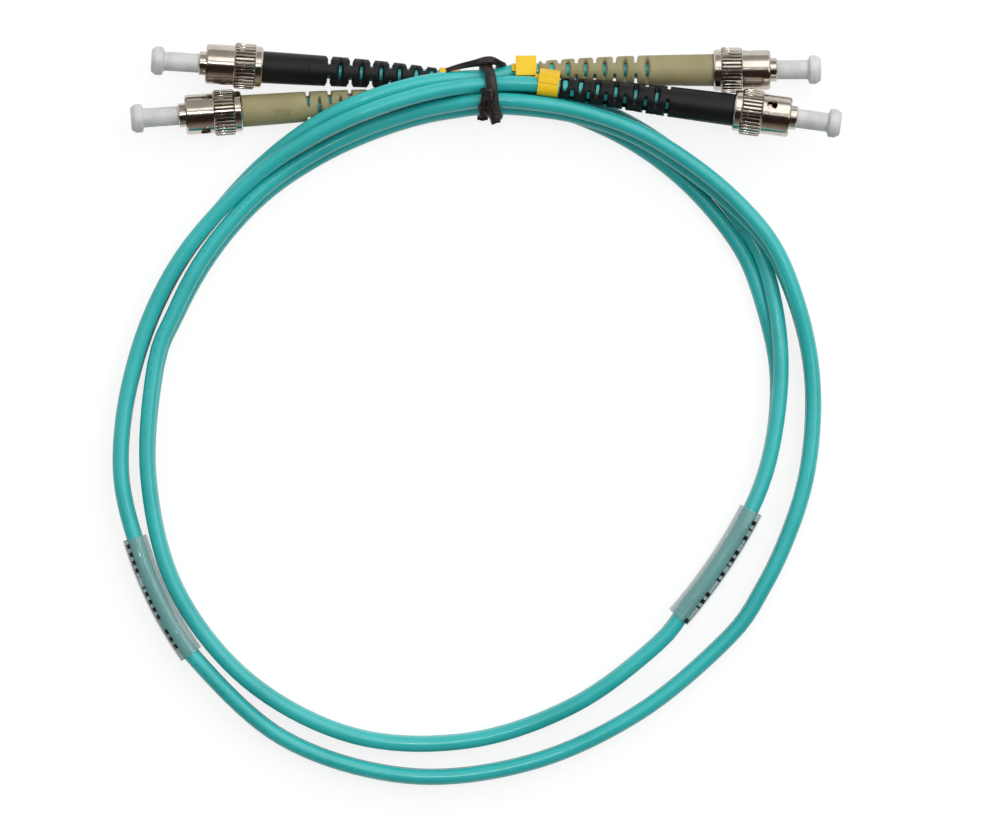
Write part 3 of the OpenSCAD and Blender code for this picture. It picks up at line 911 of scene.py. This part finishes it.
@dataclass
class Connector:
    """One bayonet connector, from its dust cap to the tail of its boot."""

    name: str
    shade: BootShade
    frame: dict
    softener: Softener
    boot_length: float = 34.9 * MM
    cord_start: float = -9.0 * MM
    tail_run: float = 4.6 * MM
    nut_edge: float = 0.07 * MM
    boot_edge: float = 0.14 * MM
    cap_edge: float = 0.18 * MM
    at: Vector = field(init=False)
    axis: Vector = field(init=False)
    shown: list[bpy.types.Object] = field(default_factory=list)

    def __post_init__(self) -> None:
        """Read where the connector lies from its nut's joint."""
        spin = next(j for j in self.frame["joints"] if j["name"] == f"{self.name}_nut_spin")
        self.at, self.axis = Vector(spin["pos_m"]), Vector(spin["axis"])

    def on_axis(self, u: float) -> Vector:
        """Give a point of the axis, u in front of the nut's rear face."""
        return self.at + u * self.axis

    def cord_run(self) -> list[Vector]:
        """Give the cord's straight stretch in the boot and out of its tail.

        Returns:
            Its points, front to back.
        """
        tail = -self.boot_length
        stations = (self.cord_start, (self.cord_start + tail) / 2, tail, tail - self.tail_run)
        return [self.on_axis(u) for u in stations]

    def soften(self, part: str, suffix: str, edge: float, finish: Finish, body: str) -> None:
        """Copy one part with soft edges, dress it and let it ride.

        Args:
            part: The part's name within the connector.
            suffix: The end of the copy's name.
            edge: How far its edges are rounded, in metres.
            finish: Its finish.
            body: The body that it rides on.
        """
        piece = self.softener.copy(f"{self.name}_{part}", f"{self.name}_{suffix}", edge)
        if isinstance(finish, TurnedMetal | MilkyFinish):
            self.softener.true_round(piece, self.at, self.axis)
        finish.dress(piece)
        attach(piece, body)
        self.shown.append(piece)

    def build(self) -> None:
        """Make and dress every piece of the connector."""
        metal = TurnedMetal(f"{self.name}_nickel", tuple(self.at), tuple(self.axis))
        shade = self.shade.finish()
        self.soften("coupling_nut", "nut_turned", self.nut_edge, metal, f"{self.name}_nut")
        self.soften("barrel", "barrel_turned", self.nut_edge, metal, "lead")
        self.soften("boot", "boot_moulding", self.boot_edge, shade, "lead")
        self.soften("dust_cap", "cap_moulding", self.cap_edge, MILKY_CAP, f"{self.name}_cap")
        for part, finish in (
            ("ferrule", WHITE_CERAMIC), ("ferrule_holder", metal), ("spring", WIRE_STEEL),
            ("thrust_washer", WIRE_STEEL), ("retaining_ring", WIRE_STEEL), ("crimp_body", metal),
            ("crimp_sleeve", WIRE_STEEL),
        ):
            node = self.frame["nodes"][f"{self.name}_{part}"]
            finish.dress(node)
            self.shown.append(node)
        LOG.info("connector %s: %d pieces", self.name, len(self.shown))


@dataclass
class TwinCord:
    """The two joined jackets along their route, and the free end of each into its boots."""

    connectors: dict[str, Connector]
    diameter: float = 3.1 * MM
    pitch: float = 3.15 * MM
    sides: int = 24
    step: float = 2.5 * MM
    frame_step: float = 12 * MM
    lines: dict[str, list[Vector]] = field(default_factory=dict)
    jackets: dict[str, bpy.types.Object] = field(default_factory=dict)

    def jacket_line(self, side: int) -> list[Vector]:
        """Give one jacket's centre line along the joined stretch.

        Args:
            side: 1 for cord A and -1 for cord B.

        Returns:
            Its points.
        """
        pair = smooth_all(PAIR_ROUTE, self.step)
        made = []
        for i, point in enumerate(pair):
            way, roll = direction(pair, i), math.radians(point[3])
            out = Vector((-way.y, way.x, 0)).normalized()
            across = math.cos(roll) * out + Vector((0, 0, math.sin(roll)))
            made.append(Vector(point[:3]) + side * self.pitch / 2 * across)
        return made

    def whole_line(self, start: Connector, side: int, end: Connector) -> list[Vector]:
        """Give a whole cord's centre line, out of one boot, round the turns and into another.

        Args:
            start: The connector at its start.
            side: 1 for cord A and -1 for cord B.
            end: The connector at its end.

        Returns:
            Its points.
        """
        line = self.jacket_line(side)
        lead = round(self.frame_step / self.step)
        head = [start.on_axis(0), *start.cord_run(), line[0], line[lead]]
        tail = [line[-1 - lead], line[-1], *reversed(end.cord_run()), end.on_axis(0)]
        first = smooth([tuple(p) for p in head], self.step)
        last = smooth([tuple(p) for p in tail], self.step)
        return [Vector(p) for p in [*first, *line[1:-1], *last]]

    def tube(self, name: str, line: Sequence[Vector]) -> bpy.types.Object:
        """Make a round tube along a line.

        Args:
            name: The piece's name.
            line: The centre line.

        Returns:
            The tube.
        """
        rings = []
        for i, point in enumerate(line):
            way = direction(line, i)
            side = way.cross(Vector((0, 0, 1))).normalized()
            up = side.cross(way)
            rings.append(
                [
                    point + self.diameter / 2 * (math.cos(a) * side + math.sin(a) * up)
                    for a in (2 * math.pi * j / self.sides for j in range(self.sides))
                ]
            )
        return swept_mesh(name, rings, lengths(line))

    def build(self) -> None:
        """Make and dress both cords."""
        for key, (start, side, end) in CORD_ENDS.items():
            line = self.whole_line(self.connectors[start], side, self.connectors[end])
            piece = self.tube(f"cord_{key}_jacket", line)
            JACKET.dress(piece)
            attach(piece, "lead")
            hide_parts(f"cord_{key}")
            self.lines[key], self.jackets[key] = line, piece
            LOG.info("cord %s: %.3f m", key, lengths(line)[-1])

    def declare(self) -> None:
        """Look up each cord's end connectors and a point at the near boot's tail, keeping nothing.
        """
        for key, piece in self.jackets.items():
            near, far = (self.connectors[CORD_ENDS[key][i]] for i in (0, 2))
            tuple(near.on_axis(-near.boot_length))


@dataclass
class Labels:
    """The two clear sleeves, each with its label strip."""

    softener: Softener
    places: dict[str, tuple[int, int, int]] = field(
        default_factory=lambda: {"left": (49, 50, 51), "right": (12, 13, 14)}
    )
    sleeves: list[bpy.types.Object] = field(default_factory=list)

    def build(self) -> None:
        """Make and dress both sleeves and strips."""
        for side in ("left", "right"):
            sleeve = self.softener.copy(f"{side}_label_sleeve", f"{side}_clear_sleeve", 0.05 * MM)
            centre, radius = self.bend(side)
            ClearFinish(f"{side}_clear_tube", centre, radius).dress(sleeve)
            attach(sleeve, "lead")
            strip = self.softener.copy(f"{side}_label_insert", f"{side}_label_strip", 0.01 * MM)
            self.map_strip(strip)
            LABEL_STRIP.dress(strip)
            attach(strip, "lead")
            self.sleeves += [sleeve, strip]
        LOG.info("labels: %d pieces", len(self.sleeves))

    def bend(self, side: str) -> tuple[tuple[float, float], float]:
        """Give the centre and radius of the arc that a sleeve follows.

        Args:
            side: The sleeve's side.

        Returns:
            The centre in plan, and the radius.
        """
        a, b, c = (PAIR_ROUTE[i] for i in self.places[side])
        d = 2 * (a[0] * (b[1] - c[1]) + b[0] * (c[1] - a[1]) + c[0] * (a[1] - b[1]))
        far = [p[0] ** 2 + p[1] ** 2 for p in (a, b, c)]
        x = (far[0] * (b[1] - c[1]) + far[1] * (c[1] - a[1]) + far[2] * (a[1] - b[1])) / d
        y = (far[0] * (c[0] - b[0]) + far[1] * (a[0] - c[0]) + far[2] * (b[0] - a[0])) / d
        return (x, y), math.hypot(b[0] - x, b[1] - y)

    def map_strip(self, strip: bpy.types.Object) -> None:
        """Give a strip a UV map of height and length along its arc.

        Args:
            strip: The strip.
        """
        mesh = strip.data
        heights, ys = ([vertex.co[i] for vertex in mesh.vertices] for i in (2, 1))
        low, high, bottom, top = min(heights), max(heights), min(ys), max(ys)
        layer = mesh.uv_layers.new(name="UVMap")
        mesh.uv_layers.active = layer
        for loop in mesh.loops:
            point = mesh.vertices[loop.vertex_index].co
            layer.data[loop.index].uv = (
                (point.z - low) / (high - low), (point.y - bottom) / (top - bottom)
            )


@dataclass
class MarkerClip:
    """One clip-on marker: a split ring with a slotted box on its side and a tongue."""

    name: str
    connector: Connector
    turn: float
    start: float
    length: float = 4.1 * MM
    ring_radius: float = 2.1 * MM
    bore_radius: float = 1.6 * MM
    gap: float = 1.3 * MM
    box_at: float = 1.95 * MM
    box_width: float = 4.2 * MM
    box_height: float = 2.0 * MM
    slot_at: float = 2.35 * MM
    slot_width: float = 3.2 * MM
    slot_height: float = 0.7 * MM
    tongue_width: float = 1.6 * MM
    tongue_reach: float = 0.8 * MM
    edge: float = 0.16 * MM
    sides: int = 64

    def bar(self, at: Sequence[float], size: Sequence[float]) -> bpy.types.Object:
        """Add a plain bar at its place in the clip's own frame.

        Args:
            at: Its centre.
            size: Its length, width and height.

        Returns:
            The bar.
        """
        bpy.ops.object.select_all(action="DESELECT")
        bpy.ops.mesh.primitive_cube_add(size=1.0)
        made = bpy.context.active_object
        made.data.transform(Matrix.Translation(Vector(at)) @ Matrix.Diagonal((*size, 1.0)))
        return made

    def rod(self, radius: float, length: float) -> bpy.types.Object:
        """Add a rod on the clip's axis.

        Args:
            radius: Its radius.
            length: Its length.

        Returns:
            The rod.
        """
        bpy.ops.object.select_all(action="DESELECT")
        bpy.ops.mesh.primitive_cylinder_add(vertices=self.sides, radius=radius, depth=length)
        made = bpy.context.active_object
        made.data.transform(Matrix.Rotation(math.pi / 2, 4, "Y"))
        return made

    def combine(self, piece: bpy.types.Object, other: bpy.types.Object, operation: str) -> None:
        """Join another shape to the piece or cut it away.

        Args:
            piece: The piece that stays.
            other: The shape, which is removed afterwards.
            operation: UNION or DIFFERENCE.
        """
        select_only(piece)
        step = piece.modifiers.new("shape", "BOOLEAN")
        step.operation, step.object, step.solver = operation, other, "EXACT"
        bpy.ops.object.modifier_apply(modifier=step.name)
        bpy.data.objects.remove(other, do_unlink=True)

    def placement(self) -> Matrix:
        """Give the clip's place and turn on its cord.

        Returns:
            The placing.
        """
        axis = self.connector.axis
        heading, rise = math.atan2(axis.y, axis.x), math.asin(axis.z)
        middle = self.connector.on_axis(self.start - self.length / 2)
        return (
            Matrix.Translation(middle) @ Matrix.Rotation(heading, 4, "Z")
            @ Matrix.Rotation(-rise, 4, "Y") @ Matrix.Rotation(math.radians(self.turn), 4, "X")
        )

    def build(self) -> bpy.types.Object:
        """Make and dress the clip.

        Returns:
            The clip.
        """
        long = 2 * self.length
        piece = self.rod(self.ring_radius, self.length)
        box = self.bar((0, 0, self.box_at), (self.length, self.box_width, self.box_height))
        self.combine(piece, box, "UNION")
        reach = self.length + self.tongue_reach
        tongue = self.bar(
            (-self.tongue_reach / 2, 0, self.box_at - self.box_height / 2 + self.slot_height),
            (reach, self.tongue_width, self.slot_height),
        )
        self.combine(piece, tongue, "UNION")
        self.combine(piece, self.rod(self.bore_radius, long), "DIFFERENCE")
        gap = self.bar((0, 0, -self.ring_radius), (long, self.gap, 2 * self.ring_radius))
        self.combine(piece, gap, "DIFFERENCE")
        slot = self.bar((0, 0, self.slot_at), (long, self.slot_width, self.slot_height))
        self.combine(piece, slot, "DIFFERENCE")
        soften_edges(piece, self.edge, 3)
        piece.data.transform(self.placement())
        bpy.ops.object.shade_smooth_by_angle(angle=SMOOTH_ANGLE)
        piece.name = f"{self.name}_marker_clip"
        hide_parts(f"{self.name}_marker")
        return piece


@dataclass
class Markers:
    """The clip-on yellow markers at three of the boots' tails."""

    softener: Softener
    connectors: dict[str, Connector]
    edge: float = 0.12 * MM
    placed: dict[str, tuple[float, float]] = field(
        default_factory=lambda: {"right_beige": (-20.0, -35.4 * MM), "right_black": (-75.0, -35.2 * MM)}
    )
    clips: dict[str, bpy.types.Object] = field(default_factory=dict)

    def build(self) -> None:
        """Make and dress the markers."""
        self.clips["left_black"] = self.softener.copy(
            "left_black_marker", "left_black_marker_clip", self.edge
        )
        for name, (turn, start) in self.placed.items():
            self.clips[name] = MarkerClip(name, self.connectors[name], turn, start).build()
        for clip in self.clips.values():
            YELLOW_CLIP.dress(clip)
            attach(clip, "lead")
        LOG.info("markers: %d pieces", len(self.clips))


@dataclass
class WireTie:
    """The coated flat wire round the bundle, with its twisted knot."""

    width: float = 2.2 * MM
    thickness: float = 0.75 * MM
    ridge: float = 0.28 * MM
    tail_length: float = 9 * MM
    tail_share: float = 0.4
    knots: tuple[tuple[tuple[float, float, float], tuple[float, float, float]], ...] = (
        ((0.0008, -0.0002, 0.0121), (0.0021, -0.0068, 0.0100)),
        ((0.0003, 0.0000, 0.0114), (-0.0003, -0.0054, 0.0097)),
    )
    knot_width: float = 2.75 * MM
    knot_radius: float = 0.62 * MM
    knot_turns: float = 0.75
    knot_steps: int = 40
    root_share: float = 0.6
    root_rise: float = 2.0
    tip_least: float = 0.04
    tip_rise: float = 7.0
    pieces: list[bpy.types.Object] = field(default_factory=list)

    def section(self, share: float = 1.0) -> list[tuple[float, float]]:
        """Give the strip's section: thin wings and a round wire along the middle.

        Args:
            share: How much of its full width it keeps.

        Returns:
            The section's points.
        """
        w, t, r = share * self.width / 2, self.thickness / 2, self.ridge
        return [
            (w, 0.0), (w * 0.9, t * 0.55), (w * 0.5, t * 0.6), (w * 0.28, t + r * 0.6),
            (0.0, t + r), (-w * 0.28, t + r * 0.6), (-w * 0.5, t * 0.6), (-w * 0.9, t * 0.55),
            (-w, 0.0), (-w * 0.9, -t * 0.55), (-w * 0.5, -t * 0.6), (-w * 0.28, -t * 0.95),
            (0.0, -t), (w * 0.28, -t * 0.95), (w * 0.5, -t * 0.6), (w * 0.9, -t * 0.55),
        ]

    def strip(
        self, name: str, line: Sequence[Sequence[float]], widths: Sequence[float]
    ) -> bpy.types.Object:
        """Sweep the section along a line whose points also hold its wide direction.

        Args:
            name: The piece's name.
            line: The line's points.
            widths: The share of its full width that it has at each point.

        Returns:
            The strip.
        """
        rings = []
        for i, point in enumerate(line):
            way, wide = direction(line, i), Vector(point[3:6])
            side = (wide - wide.dot(way) * way).normalized()
            up = way.cross(side)
            rings.append([Vector(point[:3]) + a * side + b * up for a, b in self.section(widths[i])])
        return swept_mesh(name, rings, lengths(line))

    def knot_line(self, start: Vector, end: Vector, phase: float) -> list[tuple[float, ...]]:
        """Give one of the two strips of a twisted end.

        Args:
            start: Where the twist starts.
            end: Where it ends.
            phase: Where round the twist the strip starts, in radians.

        Returns:
            Its points, each with its wide direction.
        """
        go = (end - start).normalized()
        side = go.cross(Vector((1, 0, 0))).normalized()
        up = go.cross(side)
        made = []
        for i in range(self.knot_steps + 1):
            share = i / self.knot_steps
            a = phase + 2 * math.pi * self.knot_turns * share
            out = math.cos(a) * side + math.sin(a) * up
            made.append((*(start.lerp(end, share) + self.knot_radius * out), *go.cross(out)))
        return made

    def blunt(self, share: float) -> float:
        """Give a twist's width along its length: slim at the root, and rounded at the end."""
        tip = math.sqrt(max(self.tip_least, self.tip_rise * (1 - share)))
        root = self.root_share + self.root_rise * share
        return self.knot_width / self.width * min(1.0, root, tip)

    def build(self) -> None:
        """Make and dress the tie's strip and its two twisted ends."""
        band = smooth_all(TIE_ROUTE, 0.5 * MM)
        grow = (1 - self.tail_share) / self.tail_length
        slim = [min(1.0, self.tail_share + grow * run) for run in lengths(band)]
        parts = [self.strip("tie_band", band, slim)]
        widths = [self.blunt(i / self.knot_steps) for i in range(self.knot_steps + 1)]
        for number, (start, end) in enumerate(self.knots):
            for name, phase in (("front", 0.0), ("back", math.pi)):
                line = self.knot_line(Vector(start), Vector(end), phase)
                parts.append(self.strip(f"tie_twist_{number}_{name}", line, widths))
        for part in parts:
            COATED_WIRE.dress(part)
            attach(part, "lead")
        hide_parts("twist_tie")
        self.pieces = parts
        LOG.info("tie: %d pieces", len(parts))


# ---------------------------------------------------------------- studio


@dataclass
class Studio:
    """A pale floor, soft light and the camera straight above."""

    centre: Vector = field(default_factory=lambda: Vector((0.0029, -0.06404, 0.004)))
    view_width: float = 0.2
    lens: float = 200.0
    sensor: float = 36.0
    floor_size: float = 8.0
    floor_drop: float = 0.1 * MM
    floor_glow: float = 0.82
    floor_colour: Colour = (0.24, 0.24, 0.24)
    lamps: tuple[tuple, ...] = (
        ("top_box", (0.32, 0.40, 0.55), (0.62, 0.8), 2.3),
        ("side_box", (0.55, -0.05, 0.75), (0.3, 0.5), 1.0),
        ("high_spot", (-0.04, 0.12, 1.3), (0.12, 0.12), 1.2),
    )
    gloss_room: tuple[tuple[float, Colour], ...] = (
        (0.0, (0.36, 0.33, 0.30)), (0.06, (0.20, 0.15, 0.12)), (0.14, (0.04, 0.024, 0.018)),
        (0.44, (0.03, 0.018, 0.015)), (0.50, (0.46, 0.44, 0.41)), (0.62, (0.60, 0.58, 0.55)),
        (1.0, (0.44, 0.42, 0.39)),
    )
    soft_room: tuple[tuple[float, Colour], ...] = (
        (0.0, (0.2, 0.2, 0.2)), (0.5, (0.5, 0.5, 0.5)), (1.0, WHITE),
    )

    def camera(self) -> None:
        """Set the camera over the lead, looking straight down."""
        data = bpy.data.cameras.new("camera")
        data.lens, data.sensor_width = self.lens, self.sensor
        data.clip_start, data.clip_end = 0.01, 20.0
        camera = bpy.data.objects.new("camera", data)
        height = self.view_width * self.lens / self.sensor
        camera.location = self.centre + Vector((0, 0, height))
        bpy.context.scene.collection.objects.link(camera)
        bpy.context.scene.camera = camera

    def floor(self) -> None:
        """Lay a white floor that keeps a faint shadow."""
        bpy.ops.object.select_all(action="DESELECT")
        bpy.ops.mesh.primitive_plane_add(size=self.floor_size, location=(0, 0, -self.floor_drop))
        floor = bpy.context.active_object
        floor.name = "floor"
        material = bpy.data.materials.new("white_floor")
        shader = Shader(material)
        seen = shader.ray("Camera") + shader.ray("Glossy") + shader.ray("Transmission")
        glow = shader.node("ShaderNodeEmission", {}, {"Color": WHITE, "Strength": seen * self.floor_glow})
        matt = shader.node("ShaderNodeBsdfDiffuse", {}, {"Color": self.floor_colour})
        both = shader.node("ShaderNodeAddShader", {}, {0: glow, 1: matt})
        shader.node("ShaderNodeOutputMaterial", {}, {"Surface": both})
        floor.data.materials.append(material)

    def sky(self) -> None:
        """Light the room softly from +Y, with a darker room that shows only in gloss."""
        world = bpy.data.worlds.new("studio")
        bpy.context.scene.world = world
        shader = Shader(world)
        across = shader.part(shader.node("ShaderNodeTexCoord", out="Generated"), 1) * 0.5 + 0.5
        room, soft = (
            shader.node("ShaderNodeValToRGB", {"stops": stops}, {0: across})
            for stops in (self.gloss_room, self.soft_room)
        )
        shade = shader.mix(shader.ray("Camera"), shader.mix(shader.ray("Glossy"), soft, room), WHITE)
        glow = shader.node("ShaderNodeBackground", {}, {"Color": shade, "Strength": 1.0})
        shader.node("ShaderNodeOutputWorld", {}, {"Surface": glow})

    def lamp(self, name: str, at: Sequence[float], size: Sequence[float], power: float) -> None:
        """Hang one soft rectangular lamp that faces the lead.

        Args:
            name: The lamp's name.
            at: Where it hangs.
            size: Its width and height.
            power: Its power in watts.
        """
        data = bpy.data.lights.new(name, "AREA")
        data.shape, data.size, data.size_y, data.energy = "RECTANGLE", *size, power
        lamp = bpy.data.objects.new(name, data)
        lamp.location = at
        aim = self.centre - Vector(at)
        lamp.rotation_euler = aim.to_track_quat("-Z", "Y").to_euler()
        bpy.context.scene.collection.objects.link(lamp)

    def build(self) -> None:
        """Make the whole studio."""
        bpy.context.scene.view_settings.view_transform = "Standard"
        self.camera()
        self.floor()
        self.sky()
        for lamp in self.lamps:
            self.lamp(*lamp)
        LOG.info("studio ready")


# ---------------------------------------------------------------- assembly


def corners(box: Iterable[Vector]) -> list[list[float]]:
    """Give a box's two corners as plain lists."""
    return [list(corner) for corner in box]


def main() -> None:
    """Build the studio and every sub-assembly, and report each one."""
    logging.basicConfig(level=logging.INFO, format="%(message)s")
    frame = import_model()
    Studio().build()
    softener = Softener(frame)
    shades = {
        "left_black": BootShade.BLACK, "left_beige": BootShade.BEIGE,
        "right_beige": BootShade.BEIGE, "right_black": BootShade.BLACK,
    }
    connectors = {name: Connector(name, shade, frame, softener) for name, shade in shades.items()}
    for connector in connectors.values():
        connector.build()
    cords = TwinCord(connectors)
    cords.build()
    labels = Labels(softener)
    labels.build()
    markers = Markers(softener, connectors)
    markers.build()
    tie = WireTie()
    tie.build()
    cords.declare(
    )


if __name__ == "__main__":
    main()
